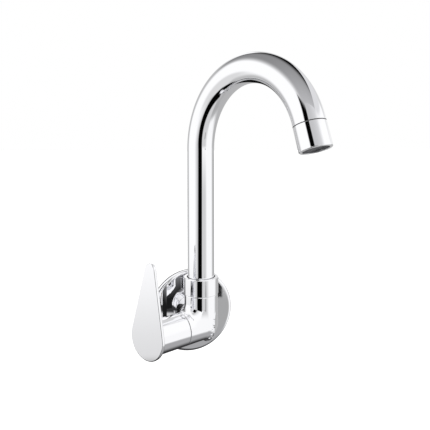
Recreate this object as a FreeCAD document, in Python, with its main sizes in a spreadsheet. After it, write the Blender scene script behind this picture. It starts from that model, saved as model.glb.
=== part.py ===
"""Wall-mounted kitchen tap with a swivel gooseneck spout and a quarter-turn lever.

The origin is the centre of the wall face on the inlet axis. +Y runs into the wall,
+X is to the right of someone who faces the tap, +Z is up. Lengths are millimetres.
"""
import FreeCAD
import Part
import Sketcher
import os
import re

# Driving dimensions
SIZES = {
    # Where the tap stands and how it is turned
    "stand_off": 36.5,            # wall face to the spout's turning axis
    "hub_turn": 65.8,             # lever axis, left of straight out from the wall
    "spout_swing": 22.7,          # spout at rest, right of straight out from the wall
    # Gaps between pieces
    "run_gap": 0.05,              # shaft in its bore, and faces that slide
    "fit_gap": 0.05,              # screwed or pushed together
    "move_gap": 0.4,              # lever sleeve to the body
    # Spout tube
    "tube_od": 22.0,
    "tube_wall": 1.2,
    "bend_radius": 58.7,
    "bend_angle": 162.0,
    "bend_height": 145.0,         # lever axis to the centre of the bend
    "outlet_straight": 1.5,       # bare tube between the bend and the nozzle
    # Cast elbow
    "branch_od": 27.6,
    "hub_od": 26.4,
    "hub_reach": 20.0,            # spout axis to the end of the lever branch
    "corner_radius": 13.0,
    "branch_top": 25.9,           # lever axis to the joint under the collar
    "neck_od": 24.8,
    "neck_height": 6.3,
    "boss_od": 26.0,              # inlet boss behind the branch
    "boss_ring_od": 30.0,
    "boss_ring_length": 13.0,
    "boss_ring_round": 1.0,
    "spout_bore_od": 18.76,
    "spout_bore_floor": 14.5,
    "seat_face": 6.0,             # spout axis to the valve seat
    "seat_hole_od": 11.0,
    "port_od": 6.0,               # passage from the valve up to the spout
    "groove_depth": 1.3,
    # Inlet and wall cover
    "thread_od": 20.955,          # G 1/2
    "thread_length": 15.0,        # beyond the wall face
    "shank_od": 20.4,             # plain part behind the wall thread
    "shank_grip": 18.0,           # inside the elbow
    "waterway_od": 14.0,
    "strainer_od": 16.4,
    "strainer_thickness": 1.0,
    "strainer_hole": 1.6,
    "strainer_pitch": 2.7,
    "flange_od": 74.0,
    "flange_depth": 4.5,
    "flange_wall": 1.2,
    "flange_round": 2.8,
    "gasket_thickness": 1.5,
    "gasket_width": 4.0,
    # Spout swivel
    "collar_od": 28.6,
    "collar_height": 13.9,
    "collar_round": 1.0,
    "spigot_bore": 13.0,
    "spigot_flange_od": 24.2,
    "spigot_flange": 2.2,
    "spigot_grip": 11.6,          # inside the tube
    "glide_washer": 1.1,
    "thrust_washer": 1.0,
    "ring_cord": 1.44,            # cord of the spout's sealing rings
    # Nozzle
    "nozzle_length": 17.4,
    "nozzle_wall": 1.35,
    "nozzle_lip": 1.2,
    "nozzle_lip_od": 17.8,
    "nozzle_round": 0.5,
    "outlet_nipple_bore": 15.0,
    "outlet_nipple_grip": 8.0,
    "outlet_nipple_reach": 5.0,
    "aerator_washer": 1.4,
    "aerator_washer_bore": 14.0,
    "aerator_od": 18.8,
    "aerator_length": 8.4,
    "aerator_cone": 12.5,
    "aerator_hole": 2.2,
    "aerator_hole_ring": 11.0,
    "screen_thickness": 1.0,
    "screen_hole": 1.1,
    "screen_pitch": 1.9,
    # Quarter-turn headwork, measured along the lever axis
    "bonnet_bore": 18.0,
    "bonnet_start": 0.3,          # seat face to the bonnet's inner end
    "bonnet_flange_od": 22.6,
    "bonnet_flange": 3.0,
    "bonnet_neck_od": 15.0,
    "bonnet_neck": 6.5,
    "bonnet_window": 8.0,
    "bonnet_ring_cord": 1.5,
    "disc_od": 17.4,
    "disc_thickness": 2.9,
    "disc_port": 5.2,
    "disc_port_ring": 8.4,
    "seal_thickness": 2.2,
    "seal_bore": 12.4,
    "spindle_od": 9.0,
    "spindle_foot_od": 17.0,
    "spindle_foot": 2.3,
    "spindle_washer": 0.9,
    "spindle_ring_cord": 1.2,
    "tongue_width": 3.0,
    "tongue_length": 12.0,
    "tongue_height": 0.8,
    "square_side": 6.4,
    "square_length": 9.0,
    "circlip_od": 12.4,
    "circlip_thickness": 0.7,
    "circlip_gap_angle": 50.0,
    # Lever
    "lever_reach": 53.0,          # spout axis to the face of the lever plate
    "lever_slant": 11.0,          # plate face, turned to the front
    "plate_lean": 4.0,            # plate, leaning to the front in its own plane
    "lever_bore": 23.8,
    "lever_boss_depth": 10.6,     # sleeve mouth to the boss inside
    "plate_thickness": 2.8,
    "plate_round": 0.8,
    "plate_low_radius": 17.2,
    "plate_top_radius": 5.2,
    "plate_lift": 1.2,            # lever axis up to the centre of the low round
    "plate_rise": 53.3,           # between the centres of the two rounds
    "screw_od": 5.0,
    "screw_length": 7.0,
    "screw_place": 36.0,          # spout axis to the screw
    "screw_socket": 2.5,
    "cap_thickness": 2.2,
}

# Shared sizes, as formulas of the driving dimensions
TUBE_BORE = "(tube_od - 2 * tube_wall)"
NECK_TOP = "(branch_top + neck_height)"
COLLAR_TOP = "(branch_top + collar_height)"
HUB_BORE = "(thread_od + 2 * fit_gap)"
FLANGE_FACE = "(stand_off - flange_depth)"
SPIGOT_OD = "(spout_bore_od - 2 * run_gap)"
FLANGE_LOW = f"({NECK_TOP} + glide_washer + 2 * run_gap)"
FLANGE_TOP = f"({FLANGE_LOW} + spigot_flange)"
COLLAR_SHOULDER = f"({FLANGE_TOP} + thrust_washer + 2 * run_gap)"
COLLAR_BORE = "(neck_od + 2 * fit_gap)"
NOZZLE_BORE = "(tube_od - 2 * nozzle_wall)"
NOZZLE_END = "(outlet_straight + nozzle_length)"
NIPPLE_END = "(outlet_straight + outlet_nipple_reach)"
SCREEN_TOP = f"({NOZZLE_END} - nozzle_lip - screen_thickness - fit_gap)"
AERATOR_TOP = f"({SCREEN_TOP} - aerator_length - fit_gap)"
SEAL_TOP = "(seat_face + fit_gap + seal_thickness)"
FIXED_TOP = f"({SEAL_TOP} + fit_gap + disc_thickness)"
MOVING_LOW = f"({FIXED_TOP} + run_gap)"
MOVING_TOP = f"({MOVING_LOW} + disc_thickness)"
FOOT_LOW = f"({MOVING_TOP} + fit_gap)"
FOOT_TOP = f"({FOOT_LOW} + spindle_foot)"
BONNET_SHOULDER = f"({FOOT_TOP} + spindle_washer + 2 * run_gap)"
BONNET_TOP = "(hub_reach + bonnet_flange + bonnet_neck)"
SHAFT_BORE = "(spindle_od + 2 * run_gap)"
CIRCLIP_LOW = f"({BONNET_TOP} + 4 * run_gap)"
SLEEVE_START = "(hub_reach + move_gap)"
BOSS_FACE = f"({SLEEVE_START} + lever_boss_depth)"

# Frames: each piece is drawn about its own Z axis and then placed
RISER = "placement(vector(0; -stand_off; 0); rotationz(0))"
SPOUT = "placement(vector(0; -stand_off; 0); rotationz(spout_swing - 90))"
OUTLET = (f"{SPOUT} * placement(vector(bend_radius * (1 - cos(bend_angle)); 0; "
          "bend_height + bend_radius * sin(bend_angle)); rotationy(bend_angle))")
HUB = "placement(vector(0; -stand_off; 0); rotationz(-hub_turn) * rotationx(90))"
INLET = "placement(vector(0; 0; 0); rotationx(-90))"
PLATE = f"{HUB} * placement(vector(0; 0; lever_reach); rotationy(lever_slant) * rotationz(-plate_lean))"

doc = FreeCAD.newDocument("kitchen_tap")
sheet = doc.addObject("Spreadsheet::Sheet", "sizes")
for row, (alias, number) in enumerate(SIZES.items(), start=1):
    sheet.set(f"A{row}", alias)
    sheet.set(f"B{row}", str(number))
    sheet.setAlias(f"B{row}", alias)
doc.recompute()
nodes = []


# Helpers
def formula(text):
    """Point every size named in the text at its cell."""
    return re.sub(r"[a-z_]+", lambda word: f"sizes.{word[0]}" if word[0] in SIZES else word[0], text)


def value(text):
    """The number that a formula gives now."""
    return float(sheet.evalExpression(formula(text)))


def bind(thing, name, text):
    """Tie one property of an object to a formula."""
    thing.setExpression(name, formula(text))


def keep(thing):
    """List a finished sub-part for export."""
    nodes.append(thing)
    return thing


def place(thing, frame, x="0", y="0", z="0", turn="rotationz(0)"):
    """Put an object in a frame, shifted and turned."""
    bind(thing, "Placement", f"{frame} * placement(vector({x}; {y}; {z}); {turn})")
    return thing


def primitive(kind, name, frame, x="0", y="0", z="0", turn="rotationz(0)", **sizes):
    """A Part primitive with bound sizes."""
    thing = doc.addObject(f"Part::{kind}", name)
    for size, text in sizes.items():
        bind(thing, size, text)
    return place(thing, frame, x, y, z, turn)


def rod(name, frame, diameter, start, length, x="0", y="0"):
    """A cylinder along the frame's Z axis."""
    return primitive("Cylinder", name, frame, x, y, start, Radius=f"({diameter}) / 2", Height=length)


def block(name, frame, width, depth, start, length, x="0", y="0"):
    """A box centred on the frame's Z axis."""
    return primitive("Box", name, frame, f"{x} - ({width}) / 2", f"{y} - ({depth}) / 2", start,
                     Length=width, Width=depth, Height=length)


def ring(name, frame, middle, cord, z):
    """A sealing ring: middle is the diameter of the cord's centre line."""
    return keep(primitive("Torus", name, frame, z=z, Radius1=f"({middle}) / 2", Radius2=f"({cord}) / 2"))


def fuse(name, pieces):
    """Join solids into one."""
    thing = doc.addObject("Part::MultiFuse", name)
    thing.Shapes = pieces
    return thing


def cut(name, base, tools):
    """Take tools away from a solid."""
    thing = doc.addObject("Part::Cut", name)
    thing.Base = base
    thing.Tool = tools[0] if len(tools) == 1 else fuse(f"{name}_tools", tools)
    return thing


def sketch_on(body, role, name):
    """A sketch on one of the body's own origin planes."""
    sketch = body.newObject("Sketcher::SketchObject", name)
    plane = next(item for item in body.Origin.OriginFeatures if item.Role == role)
    sketch.AttachmentSupport = (plane, [""])
    sketch.MapMode = "FlatFace"
    return sketch


def hold(sketch, kind, edge, end, text):
    """Hold one coordinate of a point, DistanceX or DistanceY, at a formula."""
    if text == "0":
        axis = -2 if kind == "DistanceX" else -1
        sketch.addConstraint(Sketcher.Constraint("PointOnObject", edge, end, axis))
    else:
        held = sketch.addConstraint(Sketcher.Constraint(kind, -1, 1, edge, end, value(text)))
        bind(sketch, f"Constraints[{held}]", text)


def fix_point(sketch, edge, end, x, y):
    """Hold a point of a sketch at two formulas."""
    hold(sketch, "DistanceX", edge, end, x)
    hold(sketch, "DistanceY", edge, end, y)


def polygon(sketch, corners):
    """A closed outline of straight lines through corners given as formulas."""
    points = [FreeCAD.Vector(value(x), value(y), 0) for x, y in corners]
    count = len(points)
    for index in range(count):
        sketch.addGeometry(Part.LineSegment(points[index], points[(index + 1) % count]))
    for index in range(count):
        sketch.addConstraint(Sketcher.Constraint("Coincident", index, 2, (index + 1) % count, 1))
    for index, (x, y) in enumerate(corners):
        fix_point(sketch, index, 1, x, y)


def revolve(name, frame, corners, sweep="360"):
    """A turned piece: corners are radius and height along the frame's Z axis."""
    body = doc.addObject("PartDesign::Body", name)
    sketch = sketch_on(body, "XZ_Plane", f"{name}_profile")
    polygon(sketch, corners)
    turned = body.newObject("PartDesign::Revolution", f"{name}_turned")
    turned.Profile = sketch
    turned.ReferenceAxis = (sketch, ["V_Axis"])
    bind(turned, "Angle", sweep)
    return place(body, frame)


def washer(name, frame, outer, inner, start, length):
    """A flat ring, given by its two diameters."""
    top = f"{start} + {length}"
    return revolve(name, frame, [(f"({inner}) / 2", start), (f"({outer}) / 2", start),
                                 (f"({outer}) / 2", top), (f"({inner}) / 2", top)])


def round_circle(body, radius, *circles):
    """Fillet the round edges of a turned piece that lie at the given diameters and heights."""
    doc.recompute()
    base = body.Tip
    wanted = [(value(across) / 2, value(height)) for across, height in circles]

    def chosen(edge):
        if not isinstance(edge.Curve, Part.Circle):
            return False
        return any(abs(edge.Curve.Radius - r) < 1e-4 and abs(edge.Curve.Center.z - z) < 1e-4
                   for r, z in wanted)

    names = [f"Edge{index}" for index, edge in enumerate(base.Shape.Edges, 1) if chosen(edge)]
    fillet = body.newObject("PartDesign::Fillet", f"{body.Name}_round")
    fillet.Base = (base, names)
    bind(fillet, "Radius", radius)
    return body


def hole_grid(name, frame, hole, pitch, across, start, length):
    """Rods in a hexagonal pattern that fills a circle of the given diameter."""
    step = value(pitch)
    reach = value(across) / 2 - value(hole) / 2
    rows = int(reach / step) + 1
    rods = []
    for row in range(-rows, rows + 1):
        for column in range(-rows, rows + 1):
            x, y = column + row / 2, row * 3 ** 0.5 / 2
            if (x * x + y * y) ** 0.5 * step < reach:
                rods.append(rod(f"{name}_{len(rods)}", frame, hole, start, length,
                                f"{x} * ({pitch})", f"{y:.9f} * ({pitch})"))
    return rods


# Elbow: one casting with the spout branch, the lever branch and the inlet boss
def make_elbow():
    post = revolve("elbow_post", RISER, [
        ("0", "-hub_od / 2"), ("branch_od / 2", "-hub_od / 2"), ("branch_od / 2", "branch_top"),
        ("neck_od / 2", "branch_top"), ("neck_od / 2", NECK_TOP), ("0", NECK_TOP)])
    round_circle(post, "corner_radius", ("branch_od", "-hub_od / 2"))
    hub = rod("elbow_hub", HUB, "hub_od", "0", "hub_reach")
    boss = rod("elbow_boss", INLET, "boss_od", "-stand_off", FLANGE_FACE)
    ring_low = "-flange_depth - boss_ring_length"
    shoulder = revolve("elbow_boss_ring", INLET, [
        ("0", ring_low), ("boss_ring_od / 2", ring_low), ("boss_ring_od / 2", "-flange_depth"),
        ("0", "-flange_depth")])
    round_circle(shoulder, "boss_ring_round", ("boss_ring_od", ring_low))
    casting = fuse("elbow_casting", [post, hub, boss, shoulder])
    spout_bore = rod("elbow_spout_bore", RISER, "spout_bore_od", "spout_bore_floor",
                     f"{NECK_TOP} - spout_bore_floor + 1")
    hub_bore = rod("elbow_hub_bore", HUB, HUB_BORE, "seat_face", "hub_reach - seat_face + 1")
    groove = rod("elbow_groove", HUB, f"{HUB_BORE} + 2 * groove_depth", FIXED_TOP,
                 f"{BONNET_SHOULDER} - {FIXED_TOP}")
    seat = rod("elbow_seat", HUB, "seat_hole_od", "0", "seat_face + 1")
    socket = rod("elbow_inlet_socket", INLET, "shank_od + 2 * fit_gap", "-flange_depth - shank_grip",
                 "shank_grip + 1")
    waterway = rod("elbow_waterway", INLET, "waterway_od", "-stand_off",
                   f"{FLANGE_FACE} - shank_grip + 1")
    port = primitive("Cylinder", "elbow_port", HUB, "0", f"{HUB_BORE} / 2 - port_od / 4",
                     f"({FIXED_TOP} + {BONNET_SHOULDER}) / 2", "rotationx(-135)",
                     Radius="port_od / 2", Height="spout_bore_floor")
    return keep(cut("elbow_body", casting, [spout_bore, hub_bore, groove, seat, socket, waterway, port]))


# Inlet: threaded shank, strainer, wall flange and its gasket
def make_inlet():
    end = "thread_length"
    seat = f"{end} - 2 * strainer_thickness"
    seat_od = "strainer_od + 2 * fit_gap"
    keep(revolve("inlet_shank", INLET, [
        ("waterway_od / 2", "-flange_depth - shank_grip"),
        ("shank_od / 2", "-flange_depth - shank_grip"), ("shank_od / 2", "0"), ("thread_od / 2", "0"),
        ("thread_od / 2", end),
        (f"({seat_od}) / 2", end), (f"({seat_od}) / 2", seat), ("waterway_od / 2", seat)]))
    disc = rod("strainer_disc", INLET, "strainer_od", seat, "strainer_thickness")
    holes = hole_grid("strainer_hole_rod", INLET, "strainer_hole", "strainer_pitch", "waterway_od",
                      f"{seat} - 1", "strainer_thickness + 2")
    keep(cut("inlet_strainer", disc, holes))
    hole = "(thread_od / 2 + fit_gap)"
    face = "-flange_depth"
    rim = "-gasket_thickness"
    flange = revolve("wall_flange", INLET, [
        (hole, face), ("flange_od / 2", face), ("flange_od / 2", rim),
        ("flange_od / 2 - flange_wall", rim),
        ("flange_od / 2 - flange_wall", f"{face} + flange_wall"),
        (hole, f"{face} + flange_wall")])
    round_circle(flange, "flange_round", ("flange_od", face))
    round_circle(flange, "flange_round - flange_wall",
                 ("flange_od - 2 * flange_wall", f"{face} + flange_wall"))
    keep(flange)
    keep(washer("flange_gasket", INLET, "flange_od", "flange_od - 2 * gasket_width", rim, "gasket_thickness"))


# Spout swivel: collar on the elbow's neck, spigot and washers under it
def make_swivel():
    collar = revolve("spout_collar", RISER, [
        (f"{COLLAR_BORE} / 2", "branch_top"), ("collar_od / 2", "branch_top"),
        ("collar_od / 2", COLLAR_TOP), ("tube_od / 2 + 2 * run_gap", COLLAR_TOP),
        ("tube_od / 2 + 2 * run_gap", COLLAR_SHOULDER), (f"{COLLAR_BORE} / 2", COLLAR_SHOULDER)])
    keep(round_circle(collar, "collar_round", ("collar_od", COLLAR_TOP)))
    low = "spout_bore_floor + move_gap"
    groove = f"({SPIGOT_OD} / 2 - ring_cord - fit_gap)"
    half = "(ring_cord / 2 + fit_gap)"
    lower = f"({low} + {NECK_TOP} * 2) / 3"
    upper = f"({low} * 2 + {NECK_TOP}) / 3"
    barrel = f"{SPIGOT_OD} / 2"
    inner = f"{TUBE_BORE} / 2 - fit_gap"
    corners = [("spigot_bore / 2", low), (barrel, low)]
    for middle in (upper, lower):
        corners += [(barrel, f"{middle} - {half}"), (groove, f"{middle} - {half}"),
                    (groove, f"{middle} + {half}"), (barrel, f"{middle} + {half}")]
    corners += [(barrel, FLANGE_LOW), ("spigot_flange_od / 2", FLANGE_LOW),
                ("spigot_flange_od / 2", FLANGE_TOP), (inner, FLANGE_TOP),
                (inner, f"{FLANGE_TOP} + spigot_grip"), ("spigot_bore / 2", f"{FLANGE_TOP} + spigot_grip")]
    keep(revolve("spout_spigot", SPOUT, corners))
    ring_middle = f"{SPIGOT_OD} - ring_cord"
    ring("spigot_ring_lower", SPOUT, ring_middle, "ring_cord", upper)
    ring("spigot_ring_upper", SPOUT, ring_middle, "ring_cord", lower)
    keep(washer("spout_glide_washer", SPOUT, "spigot_flange_od", f"{SPIGOT_OD} + 2 * fit_gap",
                f"{NECK_TOP} + run_gap", "glide_washer"))
    keep(washer("spout_thrust_washer", SPOUT, "spigot_flange_od", "tube_od + 2 * fit_gap",
                f"{FLANGE_TOP} + run_gap", "thrust_washer"))


# Spout tube: an annulus swept up the riser and round the bend
def make_tube():
    body = doc.addObject("PartDesign::Body", "spout_tube")
    foot = f"{FLANGE_TOP} + run_gap"
    path = sketch_on(body, "XZ_Plane", "spout_path")
    bend_end = ("bend_radius * (1 - cos(bend_angle))", "bend_height + bend_radius * sin(bend_angle)")
    end = (f"{bend_end[0]} + outlet_straight * sin(bend_angle)",
           f"{bend_end[1]} + outlet_straight * cos(bend_angle)")
    stops = [("0", foot), ("0", "bend_height"), ("bend_radius", "bend_height + bend_radius"), bend_end, end]
    low, top, crown, turned, mouth = [FreeCAD.Vector(value(x), value(y), 0) for x, y in stops]
    path.addGeometry(Part.LineSegment(low, top))
    path.addGeometry(Part.Arc(top, crown, turned))
    path.addGeometry(Part.LineSegment(turned, mouth))
    path.addConstraint(Sketcher.Constraint("Coincident", 0, 2, 1, 2))
    path.addConstraint(Sketcher.Constraint("Coincident", 1, 1, 2, 1))
    fix_point(path, 0, 1, "0", foot)
    fix_point(path, 0, 2, "0", "bend_height")
    fix_point(path, 1, 3, "bend_radius", "bend_height")
    hold(path, "DistanceY", 2, 1, bend_end[1])
    fix_point(path, 2, 2, *end)
    section = sketch_on(body, "XY_Plane", "spout_section")
    bind(section, "AttachmentOffset.Base.z", foot)
    for index, across in enumerate(("tube_od", TUBE_BORE)):
        section.addGeometry(Part.Circle(FreeCAD.Vector(), FreeCAD.Vector(0, 0, 1), value(across) / 2))
        section.addConstraint(Sketcher.Constraint("Coincident", index, 3, -1, 1))
        held = section.addConstraint(Sketcher.Constraint("Diameter", index, value(across)))
        bind(section, f"Constraints[{held}]", across)
    doc.recompute()
    pipe = body.newObject("PartDesign::AdditivePipe", "spout_pipe")
    pipe.Profile = section
    pipe.Spine = (path, ["Edge1", "Edge2", "Edge3"])
    return keep(place(body, SPOUT))


# Nozzle: nipple in the tube end, sleeve with a lip, and the aerator inside it
def make_nozzle():
    grip_end = "-outlet_nipple_grip"
    bend_drift = f"outlet_nipple_grip * outlet_nipple_grip / (2 * bend_radius - {TUBE_BORE})"
    keep(revolve("outlet_nipple", OUTLET, [
        ("outlet_nipple_bore / 2", grip_end), (f"{TUBE_BORE} / 2 - 2 * fit_gap - {bend_drift}", grip_end),
        (f"{TUBE_BORE} / 2 - fit_gap", "0"), (f"{TUBE_BORE} / 2 - fit_gap", "outlet_straight"),
        (f"{NOZZLE_BORE} / 2 - fit_gap", "outlet_straight"),
        (f"{NOZZLE_BORE} / 2 - fit_gap", NIPPLE_END), ("outlet_nipple_bore / 2", NIPPLE_END)]))
    sleeve = revolve("nozzle_sleeve", OUTLET, [
        (f"{NOZZLE_BORE} / 2", "outlet_straight"), ("tube_od / 2", "outlet_straight"),
        ("tube_od / 2", NOZZLE_END), ("nozzle_lip_od / 2", NOZZLE_END),
        ("nozzle_lip_od / 2", f"{NOZZLE_END} - nozzle_lip"),
        (f"{NOZZLE_BORE} / 2", f"{NOZZLE_END} - nozzle_lip")])
    keep(round_circle(sleeve, "nozzle_round", ("tube_od", NOZZLE_END)))
    keep(washer("aerator_washer", OUTLET, "aerator_od", "aerator_washer_bore",
                f"{NIPPLE_END} + fit_gap", "aerator_washer"))
    insert = revolve("aerator_blank", OUTLET, [
        ("0", AERATOR_TOP), ("aerator_od / 2", AERATOR_TOP),
        ("aerator_od / 2", f"{AERATOR_TOP} + aerator_length"),
        ("aerator_cone / 2", f"{AERATOR_TOP} + aerator_length"),
        ("0", f"{AERATOR_TOP} + aerator_length / 2")])
    holes = []
    for index in range(8):
        turn = f"{index * 45}"
        holes.append(rod(f"aerator_hole_{index}", OUTLET, "aerator_hole", f"{AERATOR_TOP} - 1",
                         "aerator_length + 2", f"aerator_hole_ring / 2 * cos({turn})",
                         f"aerator_hole_ring / 2 * sin({turn})"))
    keep(cut("aerator_insert", insert, holes))
    mesh = rod("screen_blank", OUTLET, "aerator_od", SCREEN_TOP, "screen_thickness")
    grid = hole_grid("screen_hole_rod", OUTLET, "screen_hole", "screen_pitch", "nozzle_lip_od",
                     f"{SCREEN_TOP} - 1", "screen_thickness + 2")
    keep(cut("aerator_screen", mesh, grid))


# Headwork: bonnet, ceramic discs, seal, spindle and what holds it
def make_headwork():
    start = "seat_face + bonnet_start"
    flange_top = "hub_reach + bonnet_flange"
    ring_at = "hub_reach - bonnet_ring_cord"
    half = "(bonnet_ring_cord / 2 + fit_gap)"
    floor = "(thread_od / 2 - bonnet_ring_cord - fit_gap)"
    blank = revolve("bonnet_blank", HUB, [
        ("bonnet_bore / 2", start), ("thread_od / 2", start), ("thread_od / 2", f"{ring_at} - {half}"),
        (floor, f"{ring_at} - {half}"), (floor, f"{ring_at} + {half}"),
        ("thread_od / 2", f"{ring_at} + {half}"), ("thread_od / 2", "hub_reach"),
        ("bonnet_flange_od / 2", "hub_reach"), ("bonnet_flange_od / 2", flange_top),
        ("bonnet_neck_od / 2", flange_top), ("bonnet_neck_od / 2", BONNET_TOP),
        (f"{SHAFT_BORE} / 2", BONNET_TOP), (f"{SHAFT_BORE} / 2", BONNET_SHOULDER),
        ("bonnet_bore / 2", BONNET_SHOULDER)])
    window = block("bonnet_window_block", HUB, "bonnet_window", "thread_od + 2", FIXED_TOP,
                   f"{MOVING_TOP} - {FIXED_TOP}")
    keep(cut("headwork_bonnet", blank, [window]))
    ring("bonnet_ring", HUB, "thread_od - bonnet_ring_cord", "bonnet_ring_cord", ring_at)
    keep(washer("seat_seal", HUB, "disc_od", "seal_bore", "seat_face + fit_gap", "seal_thickness"))
    fixed = rod("fixed_disc_blank", HUB, "disc_od", f"{SEAL_TOP} + fit_gap", "disc_thickness")
    ports = [rod(f"fixed_port_{side}", HUB, "disc_port", f"{SEAL_TOP} - 1", "disc_thickness + 2",
                 f"disc_port_ring / 2 * {sign}") for side, sign in (("front", 1), ("rear", -1))]
    keep(cut("fixed_disc", fixed, ports))
    moving = rod("moving_disc_blank", HUB, "disc_od", MOVING_LOW, "disc_thickness")
    ports = [rod(f"moving_port_{side}", HUB, "disc_port", f"{MOVING_LOW} - 1", "disc_thickness + 2", "0",
                 f"disc_port_ring / 2 * {sign}") for side, sign in (("top", 1), ("bottom", -1))]
    slot = block("moving_slot", HUB, "tongue_length + 2 * fit_gap", "tongue_width + 2 * fit_gap",
                 f"{MOVING_TOP} - tongue_height", "tongue_height + 1")
    keep(cut("moving_disc", moving, ports + [slot]))
    make_spindle()


def make_spindle():
    shaft = "spindle_od / 2"
    floor = "(spindle_od / 2 - spindle_ring_cord)"
    half = "(spindle_ring_cord / 2 + fit_gap)"
    span = f"({BONNET_TOP} - {BONNET_SHOULDER})"
    lower = f"({BONNET_SHOULDER} + {span} / 3)"
    upper = f"({BONNET_SHOULDER} + {span} * 2 / 3)"
    clip_floor = f"{shaft} - circlip_thickness"
    clip_top = f"{CIRCLIP_LOW} + circlip_thickness + 2 * fit_gap"
    corners = [("0", FOOT_LOW), ("spindle_foot_od / 2", FOOT_LOW), ("spindle_foot_od / 2", FOOT_TOP),
               (shaft, FOOT_TOP)]
    for middle in (lower, upper):
        corners += [(shaft, f"{middle} - {half}"), (floor, f"{middle} - {half}"),
                    (floor, f"{middle} + {half}"), (shaft, f"{middle} + {half}")]
    corners += [(shaft, f"{CIRCLIP_LOW} - fit_gap"), (clip_floor, f"{CIRCLIP_LOW} - fit_gap"),
                (clip_floor, clip_top), (shaft, clip_top), (shaft, BOSS_FACE), ("0", BOSS_FACE)]
    turned = revolve("spindle_turned", HUB, corners)
    tongue = block("spindle_tongue", HUB, "tongue_length", "tongue_width",
                   f"{FOOT_LOW} - tongue_height + fit_gap", "tongue_height")
    square = block("spindle_square", HUB, "square_side", "square_side", BOSS_FACE, "square_length")
    keep(fuse("valve_spindle", [turned, tongue, square]))
    ring_middle = "spindle_od - spindle_ring_cord - fit_gap"
    ring("spindle_ring_inner", HUB, ring_middle, "spindle_ring_cord - fit_gap", lower)
    ring("spindle_ring_outer", HUB, ring_middle, "spindle_ring_cord - fit_gap", upper)
    keep(washer("spindle_washer", HUB, "spindle_foot_od", f"{SHAFT_BORE} + 2 * fit_gap",
                f"{FOOT_TOP} + run_gap", "spindle_washer"))
    inner = f"{shaft} - circlip_thickness + fit_gap"
    keep(revolve("spindle_circlip", HUB, [
        (inner, CIRCLIP_LOW), ("circlip_od / 2", CIRCLIP_LOW),
        ("circlip_od / 2", f"{CIRCLIP_LOW} + circlip_thickness"),
        (inner, f"{CIRCLIP_LOW} + circlip_thickness")], "360 - circlip_gap_angle"))


# Lever: a sleeve over the headwork and a drop-shaped plate across its end, one casting
def make_plate():
    """Two arcs and the straight lines that touch both of them."""
    body = doc.addObject("PartDesign::Body", "lever_plate_blank")
    sketch = sketch_on(body, "XY_Plane", "lever_outline")
    low = value("plate_low_radius")
    top = value("plate_top_radius")
    rise = value("plate_rise")
    base = FreeCAD.Vector(0, value("plate_lift"), 0)
    tip = base + FreeCAD.Vector(0, rise, 0)
    lean = (low - top) / rise
    flat = (1 - lean * lean) ** 0.5
    right = FreeCAD.Vector(flat, lean, 0)
    left = FreeCAD.Vector(-flat, lean, 0)
    sketch.addGeometry(Part.Arc(base + left * low, base - FreeCAD.Vector(0, low, 0), base + right * low))
    sketch.addGeometry(Part.LineSegment(base + right * low, tip + right * top))
    sketch.addGeometry(Part.Arc(tip + right * top, tip + FreeCAD.Vector(0, top, 0), tip + left * top))
    sketch.addGeometry(Part.LineSegment(tip + left * top, base + left * low))
    for edge, end, other, start in ((0, 2, 1, 1), (1, 2, 2, 1), (2, 2, 3, 1), (3, 2, 0, 1)):
        sketch.addConstraint(Sketcher.Constraint("Tangent", edge, end, other, start))
    fix_point(sketch, 0, 3, "0", "plate_lift")
    fix_point(sketch, 2, 3, "0", "plate_lift + plate_rise")
    for edge, text in ((0, "plate_low_radius"), (2, "plate_top_radius")):
        held = sketch.addConstraint(Sketcher.Constraint("Radius", edge, value(text)))
        bind(sketch, f"Constraints[{held}]", text)
    pad = body.newObject("PartDesign::Pad", "lever_plate_pad")
    pad.Profile = sketch
    pad.Reversed = True
    bind(pad, "Length", "plate_thickness")
    doc.recompute()
    rim = [f"Edge{index}" for index, edge in enumerate(pad.Shape.Edges, 1)
           if abs(edge.BoundBox.ZMin) < 1e-6 and abs(edge.BoundBox.ZMax) < 1e-6]
    fillet = body.newObject("PartDesign::Fillet", "lever_plate_round")
    fillet.Base = (pad, rim)
    bind(fillet, "Radius", "plate_round")
    return place(body, PLATE)


def make_lever():
    plate = make_plate()
    reach = f"2 * lever_reach - {SLEEVE_START}"
    sleeve = rod("lever_sleeve", HUB, "hub_od", SLEEVE_START, reach)
    beyond = block("lever_trim", PLATE, "4 * lever_reach", "4 * lever_reach", "-plate_thickness / 2",
                   "2 * lever_reach")
    casting = fuse("lever_casting", [cut("lever_sleeve_trimmed", sleeve, [beyond]), plate])
    bore = rod("lever_bore_rod", HUB, "lever_bore", f"{SLEEVE_START} - 1", "lever_boss_depth + 1")
    socket = block("lever_square_socket", HUB, "square_side + 2 * fit_gap", "square_side + 2 * fit_gap",
                   f"{BOSS_FACE} - 1", "square_length + 1 + move_gap")
    screw_hole = primitive("Cylinder", "lever_screw_hole", HUB, "0", "0", "screw_place", "rotationx(90)",
                           Radius="screw_od / 2 + fit_gap", Height="hub_od")
    keep(cut("lever_handle", casting, [bore, socket, screw_hole]))
    near = "square_side / 2 + 2 * fit_gap"
    blank = primitive("Cylinder", "screw_blank", HUB, "0", f"-({near})", "screw_place", "rotationx(90)",
                      Radius="screw_od / 2", Height="screw_length")
    key = primitive("Prism", "screw_key", HUB, "0", f"-({near}) - screw_length / 2", "screw_place",
                    "rotationx(90)", Circumradius="screw_socket / sqrt(3)", Height="screw_length")
    key.Polygon = 6
    keep(cut("lever_grub_screw", blank, [key]))
    keep(primitive("Cylinder", "screw_cap", HUB, "0", f"-({near}) - screw_length - fit_gap", "screw_place",
                   "rotationx(90)", Radius="screw_od / 2", Height="cap_thickness"))


# Build every piece, test it and write it out
make_elbow()
make_inlet()
make_swivel()
make_tube()
make_nozzle()
make_headwork()
make_lever()
doc.recompute()

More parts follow.
